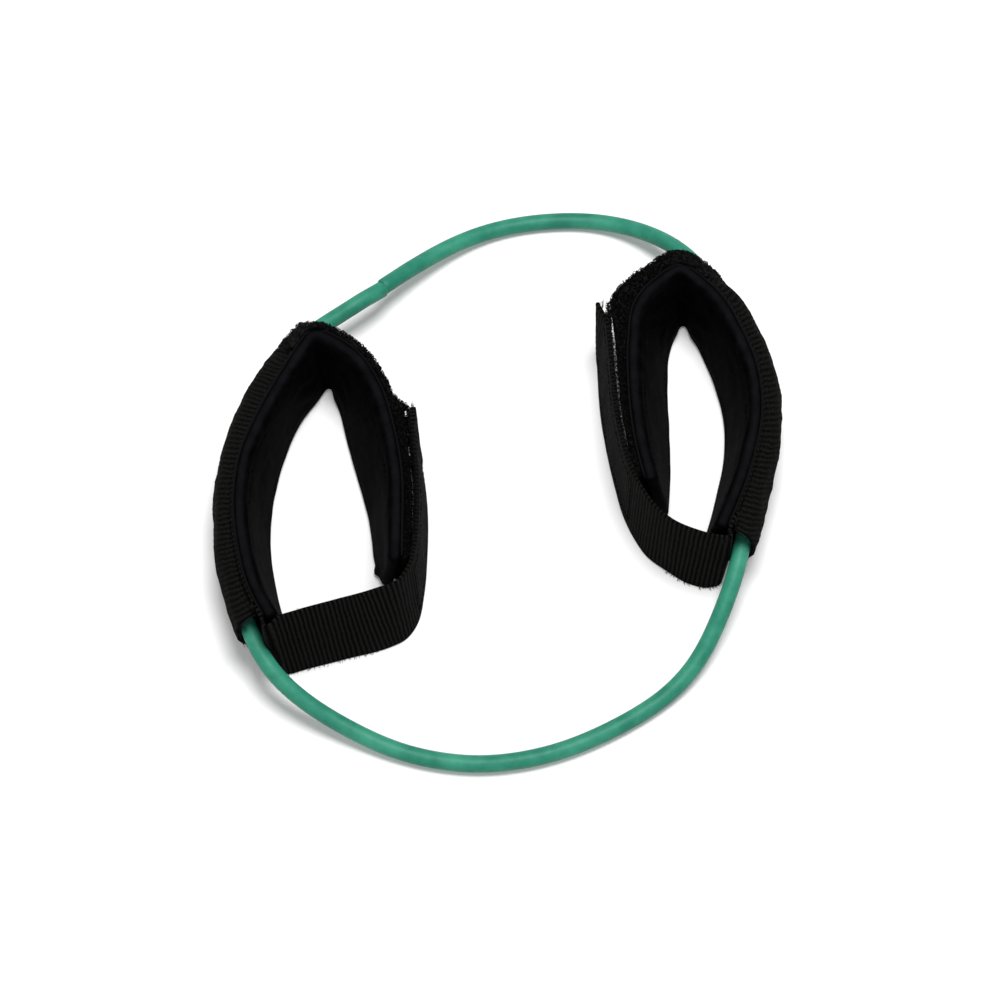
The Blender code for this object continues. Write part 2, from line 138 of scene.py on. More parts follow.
TIP_FRAYS = 110
ALONG_FRAY = (0.0, 0.25, 0.5, 0.75, 1.0)

# The pieces made of threads: radius in metres, sides, look.
THREADS = {
    "pile_loops": (0.00016, 3, "fibre"),
    "mouth_loops": (0.00015, 3, "fibre"),
    "hook_bristles": (0.00014, 3, "hooks"),
    "seams": (0.00018, 5, "pile"),
    "lap_stitches": (0.00022, 5, "fibre"),
    "tail_stitches": (0.00018, 5, "pile"),
    "mouth_frays": (0.00011, 3, "fibre"),
    "tip_frays": (0.00010, 3, "fibre"),
    "edge_cord": (0.00055, 8, "binding"),
}
FLIP = {"left": 0.6, "right": 3.0}  # how far the tip's top turns out
HEM = {"left": 1.1, "right": 0.4}  # thickness more at the tail's turned-in tip

JOINT = Vector((-56.0, 102.2, 19.4))
JOINT_AHEAD = Vector((0.68, 0.68, -0.27)).normalized()
FAR_RUN = (
    (-33.0, 124.2, 11.0), (-17.6, 135.7, 7.0), (-1.4, 143.3, 4.5), (14.7, 146.8, 4.3),
    (30.8, 148.2, 4.3), (47.3, 147.5, 4.6), (63.0, 142.2, 8.0), (76.6, 132.8, 14.0),
    (88.2, 120.0, 21.5), (95.4, 108.4, 25.5),
)
NEAR_RUN = (
    (107.6, -44.5, 27.0), (101.6, -59.0, 21.0), (94.6, -75.3, 13.0), (85.6, -88.9, 7.5),
    (73.4, -100.5, 4.6), (59.1, -109.9, 4.3), (43.8, -118.2, 4.3), (26.3, -125.6, 4.3),
    (9.9, -129.5, 4.3), (-4.5, -131.5, 4.3), (-19.1, -131.1, 4.3), (-33.7, -128.5, 4.3),
    (-47.9, -124.8, 4.8), (-62.2, -118.4, 7.0), (-75.5, -112.2, 11.0), (-87.2, -105.9, 16.0),
    (-96.6, -98.9, 21.0), (-105.6, -90.0, 26.0),
)
LAST_RUN = ((-92.4, 72.0, 25.0), (-79.8, 82.2, 22.6))


def to_part(point, side=1):
    return Vector((point[0] * side - CENTRE.x, point[1] - CENTRE.y, point[2])) * MM


def put(name, data, place=(0, 0, 0), away=None):
    """A new object in the scene, at a place and with its back towards a direction."""
    made = bpy.data.objects.new(name, data)
    made.location = place
    if away:
        made.rotation_euler = (-away).to_track_quat("-Z", "Y").to_euler()
    bpy.context.scene.collection.objects.link(made)
    return made


def add_camera():
    """The photograph's view, on the middle of its frame."""
    away = Vector((0, -math.cos(PHOTO_TILT), math.sin(PHOTO_TILT)))
    data = bpy.data.cameras.new("photo_camera")
    data.lens = 96.75
    data.sensor_width = 36
    data.clip_start = 0.05
    data.clip_end = 20
    place = to_part((0, 0, 0)) + away * PHOTO_DISTANCE
    bpy.context.scene.camera = put("photo_camera", data, place, away)


def add_node(tree, kind, **inputs):
    made = tree.nodes.new("ShaderNode" + kind)
    for key, value in inputs.items():
        made.inputs[key.replace("_", " ")].default_value = value
    return made


def seen_directly(tree):
    """1 for what the camera sees directly, in a mirror or through glass."""
    rays = add_node(tree, "LightPath").outputs
    total = rays["Is Camera Ray"]
    for kind in ("Is Glossy Ray", "Is Transmission Ray"):
        both = add_node(tree, "Math")
        both.operation = "ADD"
        both.use_clamp = kind == "Is Transmission Ray"
        tree.links.new(total, both.inputs[0])
        tree.links.new(rays[kind], both.inputs[1])
        total = both.outputs[0]
    return total


def mix_when_seen(tree, usual, direct, output):
    """One shader for light that bounces, and another for what the camera sees."""
    mix = add_node(tree, "MixShader")
    tree.links.new(seen_directly(tree), mix.inputs[0])
    tree.links.new(usual.outputs[0], mix.inputs[1])
    tree.links.new(direct.outputs[0], mix.inputs[2])
    tree.links.new(mix.outputs[0], tree.nodes[output].inputs["Surface"])


def add_studio():
    """Soft light from above, and a pale floor that keeps the shadow."""
    world = bpy.data.worlds.new("studio")
    world.use_nodes = True
    tree = world.node_tree
    plain = tree.nodes["Background"]
    plain.inputs["Color"].default_value = (1, 1, 1, 1)
    plain.inputs["Strength"].default_value = 0.32
    mix_when_seen(tree, plain, add_node(tree, "Background"), "World Output")
    bpy.context.scene.world = world

    mesh = bpy.data.meshes.new("floor")
    half, below = 4.0, -0.0002
    corners = [(x * half, y * half, below) for x, y in ((-1, -1), (1, -1), (1, 1), (-1, 1))]
    mesh.from_pydata(corners, [], [(0, 1, 2, 3)])
    floor = put("floor", mesh)
    look = bpy.data.materials.new("pale_floor")
    look.use_nodes = True
    tree = look.node_tree
    tree.nodes.remove(tree.nodes["Principled BSDF"])
    pale = add_node(tree, "BsdfDiffuse", Color=(0.78, 0.78, 0.78, 1))
    white = add_node(tree, "BsdfDiffuse", Color=(0.88, 0.88, 0.88, 1))
    glow = add_node(tree, "Emission", Strength=0.10)
    bright = add_node(tree, "AddShader")
    tree.links.new(white.outputs[0], bright.inputs[0])
    tree.links.new(glow.outputs[0], bright.inputs[1])
    mix_when_seen(tree, pale, bright, "Material Output")
    mesh.materials.append(look)

    for name, place, size, energy in (
        ("key", (0.10, 0.06, 1.5), 0.6, 22),
        ("fill", (-0.5, -1.2, 1.2), 1.4, 4),
    ):
        data = bpy.data.lights.new(name, "AREA")
        data.shape = "DISK"
        data.size = size
        data.energy = energy
        put(name, data, place, Vector(place))
    bpy.context.scene.view_settings.view_transform = "Standard"


LOOKS = {}


class Look:
    """A material's nodes, with short ways to add what a cloth or rubber needs."""

    def __init__(self, name, roughness, coords="Object"):
        material = bpy.data.materials.new(name)
        material.use_nodes = True
        LOOKS[name.split("_")[1]] = material
        self.tree = material.node_tree
        self.link = self.tree.links.new
        self.shader = self.tree.nodes["Principled BSDF"]
        self.set(Roughness=roughness)
        self.where = self.node("TexCoord").outputs
        self.coords = coords
        self.bump_normal = None

    def node(self, kind, **inputs):
        return add_node(self.tree, kind, **inputs)

    def set(self, **inputs):
        for key, value in inputs.items():
            self.shader.inputs[key.replace("_", " ")].default_value = value

    def noise(self, scale, detail=4.0, stretch=(1, 1, 1), roughness=0.6):
        made = self.node("TexNoise", Scale=scale, Detail=detail, Roughness=roughness)
        return self.placed(made, stretch)

    def waves(self, scale, direction, distortion=0.6):
        made = self.node("TexWave", Scale=scale, Distortion=distortion, Detail=2.0)
        made.bands_direction = direction
        return self.placed(made, (1, 1, 1))

    def placed(self, texture, stretch):
        mapping = self.node("Mapping", Scale=stretch)
        self.link(self.where[self.coords], mapping.inputs["Vector"])
        self.link(mapping.outputs[0], texture.inputs["Vector"])
        return texture.outputs["Fac"]

    def level(self, low, high):
        """0 below one height and 1 above another."""
        apart = self.node("SeparateXYZ")
        self.link(self.where["Object"], apart.inputs[0])
        spread = self.node("MapRange", From_Min=low, From_Max=high)
        self.link(apart.outputs["Z"], spread.inputs["Value"])
        return spread.outputs[0]

    def between(self, first, second, share):
        mix = self.node("Mix")
        mix.inputs[0].default_value = share
        self.link(first, mix.inputs[2])
        self.link(second, mix.inputs[3])
        return mix.outputs[0]

    def color(self, low, high, fac, start=0.3, end=0.7):
        ramp = self.node("ValToRGB")
        for stop, place, color in zip(ramp.color_ramp.elements, (start, end), (low, high)):
            stop.position = place
            stop.color = (*color, 1)
        self.link(fac, ramp.inputs["Fac"])
        self.link(ramp.outputs["Color"], self.shader.inputs["Base Color"])

    def rough(self, low, high, fac):
        spread = self.node("MapRange", To_Min=low, To_Max=high)
        self.link(fac, spread.inputs["Value"])
        self.link(spread.outputs[0], self.shader.inputs["Roughness"])

    def bump(self, fac, height, strength=1.0):
        made = self.node("Bump", Strength=strength, Distance=height)
        self.link(fac, made.inputs["Height"])
        if self.bump_normal:
            self.link(self.bump_normal, made.inputs["Normal"])
        self.bump_normal = made.outputs[0]
        self.link(self.bump_normal, self.shader.inputs["Normal"])

    def sheen(self, weight, roughness, tint, specular):
        self.set(Specular_IOR_Level=specular, Sheen_Weight=weight)
        self.set(Sheen_Roughness=roughness, Sheen_Tint=(*tint, 1))


def grey(value):
    return (value, value, value)


def make_looks():
    latex = Look("green_latex", 0.42)
    latex.color((0.012, 0.178, 0.114), (0.036, 0.274, 0.176), latex.noise(60.0), 0.36, 0.64)
    latex.rough(0.42, 0.60, latex.noise(420.0, 3.0))
    latex.bump(latex.noise(900.0, 2.0), 0.00010, 0.35)
    latex.bump(latex.noise(90.0, 2.0), 0.0005, 0.35)
    latex.set(Subsurface_Weight=0.15, Subsurface_Radius=(0.5, 1.0, 0.8), Subsurface_Scale=0.0010)
    latex.set(Specular_IOR_Level=0.25)

    cloth = Look("black_cloth", 0.75, "UV")
    # Painted highlight: the cloth's colour is lighter along the pad's rounded top edge, above 49.2
    # mm, mixed with random tone from noise.
    tone_and_ridge_highlight = cloth.between(cloth.noise(1.6, 5.0), cloth.level(0.0492, 0.0503), 0.36)
    cloth.color((0.0010, 0.0010, 0.0012), (0.0085, 0.0083, 0.0098), tone_and_ridge_highlight, 0.26, 0.86)
    cloth.rough(0.62, 0.85, cloth.noise(6.0, 3.0))
    for way in "XY":
        cloth.bump(cloth.waves(7.0, way, 0.4), 0.00006, 0.5)
    cloth.bump(cloth.noise(1.2, 4.0), 0.0006, 0.35)
    cloth.sheen(0.002, 0.35, (0.55, 0.54, 0.64), 0.005)

    binding = Look("black_binding", 0.6, "UV")
    binding.color((0.0020, 0.0020, 0.0022), (0.0070, 0.0070, 0.0078), binding.noise(3.0, 4.0))
    binding.bump(binding.waves(11.0, "X", 0.5), 0.00008, 0.6)
    binding.sheen(0.004, 0.35, (0.6, 0.6, 0.66), 0.01)

    for name, share, wander, high in (
        ("webbing", 0.66, 1.2, 0.0125),
        ("sleeve", 0.84, 3.0, 0.0135),
    ):
        woven = Look("black_" + name, 0.7, "UV")
        grain = woven.noise(11.0, 5.0, (1.4, 1, 1), 0.75)
        # Painted shade and light: the rib pattern darkens the colour in the rib valleys and
        # lightens it on the crests, mixed with random grain.
        ribs = woven.between(woven.waves(1.496, "X", wander), grain, share)
        woven.color(grey(0.0004), (high, high * 0.98, high * 0.92), ribs, 0.36, 0.70)
        woven.rough(0.50, 0.80, woven.noise(9.0, 4.0))
        woven.bump(woven.waves(5.2, "Y", 1.2), 0.00018, 0.8)
        woven.bump(woven.noise(14.0, 4.0, (1, 4, 1)), 0.00022, 0.8)
        woven.sheen(0.002, 0.4, (0.6, 0.6, 0.62), 0.006)

    pile = Look("black_pile", 0.95)
    tufts = pile.noise(900.0, 3.0)
    pile.color(grey(0.0005), (0.0040, 0.0039, 0.0037), tufts, 0.35, 0.7)
    pile.bump(pile.noise(1400.0, 3.0), 0.0006, 1.0)
    pile.sheen(0.002, 0.5, (0.55, 0.55, 0.55), 0.005)

    fibre = Look("black_fibre", 0.5)
    strands = fibre.noise(700.0, 2.0)
    fibre.color(grey(0.0010), (0.0150, 0.0150, 0.0146), strands, 0.35, 0.72)
    fibre.sheen(0.003, 0.4, (0.6, 0.6, 0.6), 0.03)

    hooks = Look("black_hooks", 0.5, "UV")
    hooks.color(grey(0.0010), grey(0.0045), hooks.noise(5.0, 3.0))
    for way in "XY":
        hooks.bump(hooks.waves(7.5, way, 0.2), 0.0005, 1.0)
    hooks.set(Specular_IOR_Level=0.02)

    foam = Look("dark_foam", 0.95)
    foam.color(grey(0.008), grey(0.018), foam.noise(1500.0, 2.0))
    foam.bump(foam.noise(1800.0, 2.0), 0.0003, 1.0)

    plug = Look("pale_plug", 0.4)
    plug.color((0.50, 0.50, 0.47), (0.58, 0.58, 0.55), plug.noise(200.0, 2.0))


def slopes(points):
    """The rate of change at each point, weighted towards its nearer neighbour."""
    steps = [math.dist(a, b) for a, b in zip(points, points[1:])]
    spans = zip(points, points[1:], steps)
    rates = [[(q - p) / step for p, q in zip(a, b)] for a, b, step in spans]
    found = []
    for index in range(1, len(points) - 1):
        before, after = steps[index - 1:index + 1]
        pairs = zip(rates[index - 1], rates[index])
        found.append([(p * after + q * before) / (before + after) for p, q in pairs])
    first = [1.5 * p - 0.5 * q for p, q in zip(rates[0], found[0])]
    last = [1.5 * p - 0.5 * q for p, q in zip(rates[-1], found[-1])]
    return [first] + found + [last]


def turned(a, b):
    turn = abs(math.degrees(math.atan2(a[1], a[0]) - math.atan2(b[1], b[0])))
    return min(turn, 360 - turn)


def smooth(points, longest):
    """Places and directions on a smooth curve through the points."""
    directions = slopes(points)
    made = []
    for index in range(len(points) - 1):
        start, end = points[index], points[index + 1]
        leave, arrive = directions[index], directions[index + 1]
        span = math.dist(start, end)
        turn = turned(leave, arrive)
        if len(start) == 4:
            turn = max(turn, turned(leave[2:], arrive[2:]))
        count = max(math.ceil(span / longest), math.ceil(turn / STEP_TURN))
        for step in range(count + (index == len(points) - 2)):
            t = step / count
            at_p, at_q = 2 * t ** 3 - 3 * t ** 2 + 1, 3 * t ** 2 - 2 * t ** 3
            at_m, at_n = t ** 3 - 2 * t ** 2 + t, t ** 3 - t ** 2
            place, ahead = [], []
            for p, q, m, n in zip(start, end, leave, arrive):
                m, n = m * span, n * span
                place.append(at_p * p + at_m * m + at_q * q + at_n * n)
                slope = (6 * t ** 2 - 6 * t) * (p - q) + (3 * t ** 2 - 4 * t + 1) * m
                ahead.append(slope + (3 * t ** 2 - 2 * t) * n)
            made.append((place, ahead))
    return made


def left_of(direction):
    return Vector((-direction[1], direction[0])).normalized()


def stations(points):
    return [
        (Vector(place[:2]), Vector(place[2:]), left_of(ahead[:2]), left_of(ahead[2:]))
        for place, ahead in smooth(points, 3.0)
    ]


def fold_arc(corner, arriving, leaving, steps=16):
    begin = math.atan2(arriving.y, arriving.x)
    turn = (begin - math.atan2(leaving.y, leaving.x)) % (2 * math.pi)
    cut_back = FOLD_RADIUS * math.tan(turn / 2)
    ahead = Vector((arriving.y, -arriving.x))
    middle = corner - ahead * cut_back - arriving * FOLD_RADIUS
    made = []
    for step in range(steps + 1):
        angle = begin - turn * step / steps
        outward = Vector((math.cos(angle), math.sin(angle)))
        made.append((middle + outward * FOLD_RADIUS, outward))
    return made


class Band:
    """A band of cloth stood on edge along a route."""

    def __init__(self, uprights, side):
        self.uprights = uprights
        self.side = side
        self.fold = -100.0
        pairs = zip(uprights, uprights[1:])
        steps = (((b[0] + b[1] - a[0] - a[1]) / 2).length for a, b in pairs)
        self.reach = list(accumulate(steps, initial=0.0))
        self.length = self.reach[-1]

    def place(self, s, w, h):
        """The place in the lists' millimetres, on the left side."""
        index = min(max(bisect_right(self.reach, s) - 1, 0), len(self.reach) - 2)
        share = (s - self.reach[index]) / (self.reach[index + 1] - self.reach[index])
        a, b = self.uprights[index], self.uprights[index + 1]
        low, high, low_out, high_out = (p + (q - p) * share for p, q in zip(a, b))
        up = h / PAD_HEIGHT
        point = low + (high - low) * up + (low_out + (high_out - low_out) * up) * w
        return Vector((point.x, point.y, h))

    def at(self, s, w, h):
        return to_part(self.place(s, w, h), self.side)

    def slower(self, s):
        """Less run along the band where its fold spreads the outer face apart."""
        return 0.15 if abs(s - self.fold) < 2.2 else 1.0


def pad_band(wall, wing, side):
    before, after = stations(wall), stations(wing)
    corner, top, way, top_way = before[-1]
    lower, upper = fold_arc(corner, way, after[0][2]), fold_arc(top, top_way, after[0][3])
    fold = [(low[0], high[0], low[1], high[1]) for low, high in zip(lower, upper)]
    clear = FOLD_RADIUS * 3
    before = [u for u in before if (u[0] - corner).length > clear]
    after = [u for u in after if (u[0] - corner).length > clear]
    band = Band(before + fold + after, side)
    band.fold = (band.reach[len(before)] + band.reach[len(before) + len(fold) - 1]) / 2
    return band


def crossing(start, way, line):
    """How far a ray in plan runs before it meets a line, or None."""
    for a, b in zip(line, line[1:]):
        before = way.x * (a.y - start.y) - way.y * (a.x - start.x)
        after = way.x * (b.y - start.y) - way.y * (b.x - start.x)
        if before * after <= 0 and before != after:
            share = before / (before - after)
            met = Vector((a.x + (b.x - a.x) * share, a.y + (b.y - a.y) * share))
            reach = (met - start.xy).dot(way)
            if 3.0 < reach < 40.0:
                return reach
    return None


def outward_at(band, s, h):
    start = band.place(s, 0, h)
    return start, (band.place(s, 1, h) - start).xy.normalized()


def strap_band(pad, route, side):
    out = SEWN_ON + WEBBING / 2
    lap = []
    for along in (LAP, LAP / 2, 0.5):
        low, high = pad.place(along, out, 0), pad.place(along, out, PAD_HEIGHT)
        lap.append((*low.xy, *high.xy))
    return Band(stations(lap + list(route)), side)


def add_mesh(name, verts, faces, look, body, sharp):
    mesh = bpy.data.meshes.new(name)
    mesh.from_pydata(verts, [], faces)
    shape = bmesh.new()
    shape.from_mesh(mesh)
    bmesh.ops.recalc_face_normals(shape, faces=shape.faces)
    shape.to_mesh(mesh)
    shape.free()
    mesh.shade_smooth()
    mesh.set_sharp_from_angle(angle=math.radians(sharp))
    mesh.materials.append(look)
    made = put(name, mesh)
    if body:
        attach(made, body)
    return made


def skin_faces(rings, sides, base=0, capped=True):
    """Faces between neighbouring rings of a skin, and over its two ends."""
    made = []
    for a in range(base, base + (rings - 1) * sides, sides):
        for side in range(sides):
            after = (side + 1) % sides
            made.append((a + side, a + after, a + after + sides, a + side + sides))
    if capped:
        made.append(tuple(range(base, base + sides)))
        made.append(tuple(range(base + (rings - 1) * sides, base + rings * sides)))
    return made


def spread(start, end, step):
    count = max(2, math.ceil((end - start) / step))
    return [start + (end - start) * index / count for index in range(count + 1)]


def rounded_stops(start, end, step, radius, arc=4):
    """Stops along a band, closer at its ends, each with how far the section draws in there."""
    turns = [math.pi / 2 * index / arc for index in range(arc)]
    ends = [(radius * (1 - math.cos(turn)), radius * (1 - math.sin(turn))) for turn in turns]
    made = [(start + away, tuck) for away, tuck in ends]
    made += [(stop, 0.0) for stop in spread(start + radius, end - radius, step)]
    return made + [(end - away, tuck) for away, tuck in ends[::-1]]


def stops_near_fold(band, stops, clear, near):
    """The stops, with closer ones in their place near the fold."""
    return sorted([stop for stop in stops if abs(stop[0] - band.fold) > clear] + near)


def loft(name, band, stops, section, look, body, sharp, slant=0.0):
    """A closed skin along a band.

    section(s, tuck) gives its (w, h) points, in from its edges by tuck.
    """
    verts, along, around = [], [], []
    for s, tuck in stops:
        ring = section(s, tuck)
        reach = 0.0
        previous = ring[0]
        for w, h in ring:
            reach += math.hypot(w - previous[0], h - previous[1])
            previous = (w, h)
            verts.append(band.at(s, w, h))
            along.append((s + slant * h) * UV_SCALE / math.sqrt(1 + slant * slant))
            around.append(reach * UV_SCALE)
    faces = skin_faces(len(stops), len(ring))
    made = add_mesh(name, verts, faces, look, body, sharp)
    layer = made.data.uv_layers.new(name="cloth").data
    for loop in made.data.loops:
        layer[loop.index].uv = (along[loop.vertex_index], around[loop.vertex_index])
    return made


def slab(w0, w1, h0, h1, radius, rows, arc=5):
    """Section of a flat band with round edges: (w, h) and the way out there, (nw, nh)."""
    radius = min(radius, (w1 - w0) / 2 - 0.01)
    made = []
    for middle, start in (
        ((w1 - radius, h0 + radius), 0),
        ((w0 + radius, h0 + radius), -90),
        ((w0 + radius, h1 - radius), 180),
        ((w1 - radius, h1 - radius), 90),
    ):
        if start == 180:
            for index in range(1, rows):
                made.append((w0, h0 + radius + (h1 - h0 - 2 * radius) * index / rows, -1.0, 0.0))
        for step in range(arc + 1):
            angle = math.radians(start - 90 * step / arc)
            way = (math.cos(angle), math.sin(angle))
            made.append((middle[0] + radius * way[0], middle[1] + radius * way[1], *way))
    for index in range(1, rows):
        made.append((w1, h1 - radius - (h1 - h0 - 2 * radius) * index / rows, 1.0, 0.0))
    return made


def relieved(points, relief):
    """The section's points, each moved along its outward way by relief(w, h, nw)."""
    made = []
    for w, h, nw, nh in points:
        lift = relief(w, h, nw)
        made.append((w + nw * lift, h + nh * lift))
    return made


def bell(x, width):
    """1 at 0, and near 0 beyond twice the width."""
    return math.exp(-((x / width) ** 2))


def ramp(x):
    """0 below 0, 1 above 1, and smooth between."""
    x = min(max(x, 0.0), 1.0)
    return x * x * (3 - 2 * x)


def uneven(a, b, c, scale):
    return noise.noise(Vector((a / scale, b / scale, c)))


def make_pad(name, band):
    """The pad's skin: soft, with round edges, puckered at its fold and drawn in at its seams."""
    seed = 3.1 if name == "left" else 9.7

    def section(s, tuck):
        points = slab(tuck, PAD_THICKNESS - tuck, tuck, PAD_HEIGHT - tuck, PAD_ROUND - tuck, 46)
        off_fold = abs(s - band.fold)
        free = ramp((off_fold - FOLD_RADIUS) / 6)
        kink = KINK[name] * bell(s - band.length + 10, 2.6)

        def relief(w, h, nw):
            edge = min(h, PAD_HEIGHT - h)
            inner = ramp((edge - 1) / 4)
            lift = 0.45 * uneven(s, h, seed, 17.0) * inner
            lift += 0.16 * uneven(s, h, seed + 4, 6.0) * inner
            lift += 0.22 * uneven(s, 0, seed + 7, 9.0) * (1 - inner)
            lift -= 0.14 * bell(edge - SEAM_IN, 0.8)
            if nw < 0:
                crown = 1 - (2 * h / PAD_HEIGHT - 1) ** 4
                lift += 0.45 * crown
                lift += 1.1 * bell(off_fold - 9.0, 4.0) * crown
                lift += 0.5 * bell(off_fold - 15.0, 6.0) * math.sin(h * 0.42 + s * 0.25) * crown
                lift *= free
                lift += kink * ramp((12 - h) / 8) * max(-nw, 0.0) ** 3
            else:
                lift *= 0.3
            return lift * (1 - tuck / PAD_ROUND)

        return relieved(points, relief)

    near = [(band.fold + step * 0.5, 0.0) for step in range(-14, 15)]
    stops = stops_near_fold(band, rounded_stops(0, band.length, 2.2, 2.7), 7.2, near)
    pad = loft(name + "_pad", band, stops, section, LOOKS["cloth"], name + "_cuff", 60)
    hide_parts(name + "_pad_lining", name + "_pad_backing")


def tunnel_crest(name, band, s):
    """The sleeve's outer reach: more over the tube towards the fold, and spread at its mouth."""
    crest = PAD_THICKNESS + 14.2
    crest += SWELL[name] * ramp((s - 70.0) / 30.0)
    crest += MOUTH_SPREAD[name] * ramp((30.0 - s) / 22.0)
    if s > SLEEVE[name][1] - 6:
        start, way = outward_at(band, s, TUBE_HEIGHT)
        reach = crossing(start, way, band.tube)
        if reach:
            tight = reach + TUBE_RADIUS + WEBBING + 0.1
            most = CREST_MOST[name]
            crest += (min(max(tight, most - 2), most) - crest) * ramp((s - SLEEVE[name][1]) / 5)
    return crest


def arch_section(name, band, slant):
    """Webbing in an arch, whose margins climb over the strap's lap and over the pile."""
    low, high = TAPE_EDGE, PAD_HEIGHT - TAPE_EDGE
    middle = (low + high) / 2
    reach = middle - low - SLEEVE_MARGIN
    seed = 5.5 if name == "left" else 2.2
    steps = 30

    def rib_at(s, h):
        phase = (s + slant * h) / (RIB_PITCH * math.sqrt(1 + slant * slant))
        broken = max(0.45 + 0.9 * uneven(s * 0.8, h, seed + 9, 2.6), 0.0)
        return abs(math.sin(math.pi * phase + 1.1 * uneven(s, h, seed + 3, 7.0))) ** 0.8 * broken

    def section(s, tuck):
        foot = SEWN_ON + 1.6 * ramp((LAP + 2.5 - s) / 2)
        foot += 3.0 * ramp((s - SLEEVE[name][1] - 0.1) / 1.3)
        calm = 1 - 0.8 * ramp((s - SLEEVE[name][1] + 6) / 8)
        rise = tunnel_crest(name, band, s) - foot - WEBBING
        outer, inner = [], []
        for step in range(steps + 1):
            angle = math.pi * step / steps
            sine, cosine = math.sin(angle), math.cos(angle)
            bulge = max(sine, 0.0) ** (0.85 + 0.9 * (1 - calm))
            h = middle - reach * cosine
            lift = rise * bulge
            sag = 0.9 * uneven(s, h, seed, 15.0) + 0.5 * uneven(s, h, seed + 1, 5.0)
            sag -= 1.1 * bell(h - 37.0, 4.0) * (0.6 + uneven(s, 0, seed + 2, 20.0))
            lift += sag * calm * sine
            thick = 0.30 * rib_at(s, h) - tuck
            outer.append((foot + WEBBING + lift + thick * sine, h - thick * cosine))
            h = middle - (reach - WEBBING) * cosine
            inner.append((foot + lift + tuck * sine, h - tuck * cosine))
        front = foot + WEBBING - tuck
        heights = [low + SLEEVE_MARGIN * step / 6 for step in range(1, 6)]
        heights += [PAD_HEIGHT - h for h in heights[::-1]]
        flat = [(front + 0.24 * rib_at(s, h), h) for h in heights]
        edge_low = [(foot + tuck, low + tuck), (front, low + tuck)]
        edge_high = [(front, high - tuck), (foot + tuck, high - tuck)]
        return edge_low + flat[:5] + outer + flat[5:] + edge_high + inner[::-1]

    return section


def make_sleeve(name, band):
    """Webbing arched over the tube, with its ribs across, sewn along both edges."""
    start, end = TUNNEL[name]
    stops = rounded_stops(start, end, RIB_PITCH / 4, 0.45, 2)
    stops = [stop for stop in stops if stop[0] < band.fold - 3 or stop[1] > 0]
    finer = spread(band.fold - 3, end - 0.5, 0.10)
    stops = sorted(stops + [(stop, 0.0) for stop in finer])
    section = arch_section(name, band, SLANT[name])
    look = LOOKS["sleeve"]
    sleeve = loft(name + "_sleeve", band, stops, section, look, name + "_cuff", 50, SLANT[name])
    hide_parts(name + "_tube_sleeve")


def strap_reach(band, s, h):
    """How far out the tail that faces the pad lies, or a long way where none does."""
    start, way = outward_at(band, s, h)
    return crossing(start, way, band.facing[min(int(h / FACING_STEP), 4)]) or 99.0


def pile_face(name, band, s, h):
    """How far out the pile's ground lies: slack off the pad, and held where the tail faces it."""
    face = PAD_THICKNESS + 2.6
    begin, over = SLACK_FROM[name]
    most = SLACK_MOST + SLACK_LOW * (1 - h / PAD_HEIGHT) * ramp((s - PILE[name][1]) / 10)
    slack = SLACK[name] + (most - SLACK[name]) * ramp((s - begin) / over)
    slack *= ramp((s - PILE[name][0]) / 9)
    if s > begin:
        slack = min(slack, max(strap_reach(band, s, h) - face - HOOK_ROOM, 0.0))
    return face + slack


def make_pile(name, band):
    """The loop tape's ground, uneven as its loops are."""
    start, end = PILE[name]
    end += PILE_MORE[name]
    seed = 1.3 if name == "left" else 8.2

    def section(s, tuck):
        low, high = (pile_face(name, band, s, h) for h in (0, PAD_HEIGHT))
        ground = SEWN_ON + tuck, SEWN_ON + PILE_GROUND - tuck
        edges = TAPE_EDGE + tuck, PAD_HEIGHT - TAPE_EDGE - tuck
        points = slab(*ground, *edges, 0.9, 44, 3)
        made = []
        for w, h, nw, nh in points:
            if nw > -0.5:
                push = low + (high - low) * h / PAD_HEIGHT - SEWN_ON - PILE_GROUND
                w += push * (1 - tuck)
                lift = 0.5 * uneven(s, h, seed, 1.4) + 0.5 * uneven(s, h, seed + 2, 5.0)
                if s > SLACK_FROM[name][0]:
                    lift = max(min(lift, 0.2), -0.08)
                w, h = w + nw * lift, h + nh * lift * 0.6
            made.append((w, h))
        return made

    near = [(stop, 0.0) for stop in spread(band.fold - 3, band.fold + 3, 0.35)]
    stops = stops_near_fold(band, rounded_stops(start, end, 1.1, 0.8, 2), 3.2, near)
    pile = loft(name + "_pile", band, stops, section, LOOKS["pile"], name + "_cuff", 80)
    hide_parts(name + "_pile_tape")


def circle(point, across, up, radius, sides):
    turns = [2 * math.pi * side / sides for side in range(sides)]
    return [point + (across * math.cos(turn) + up * math.sin(turn)) * radius for turn in turns]


def thread_mesh(name, kind, lines, part):
    """Many threads as one mesh, NAME_KIND, on one part of the cuff. Their ends are thinner."""
    radius, sides, look = THREADS[kind]
    verts, faces = [], []
    for points in lines:
        base = len(verts)
        rings = len(points)
        for index, point in enumerate(points):
            before = points[max(index - 1, 0)]
            after = points[min(index + 1, rings - 1)]
            ahead = (after - before).normalized()
            across = ahead.cross(Vector((0.31, 0.17, 0.93))).normalized()
            up = ahead.cross(across)
            size = radius * (0.45 if index in (0, rings - 1) else 1.0)
            verts += circle(point, across, up, size, sides)
        faces += skin_faces(rings, sides, base)
    return add_mesh(name + "_" + kind, verts, faces, LOOKS[look], name + part, 80)


def yarn_arc(tall, wide):
    """Six points on one loop of yarn: how far along it and how far up."""
    turns = [math.pi * (0.05 + 0.9 * step / 5) for step in range(6)]
    return [(-math.cos(turn) * wide, math.sin(turn) * tall) for turn in turns]


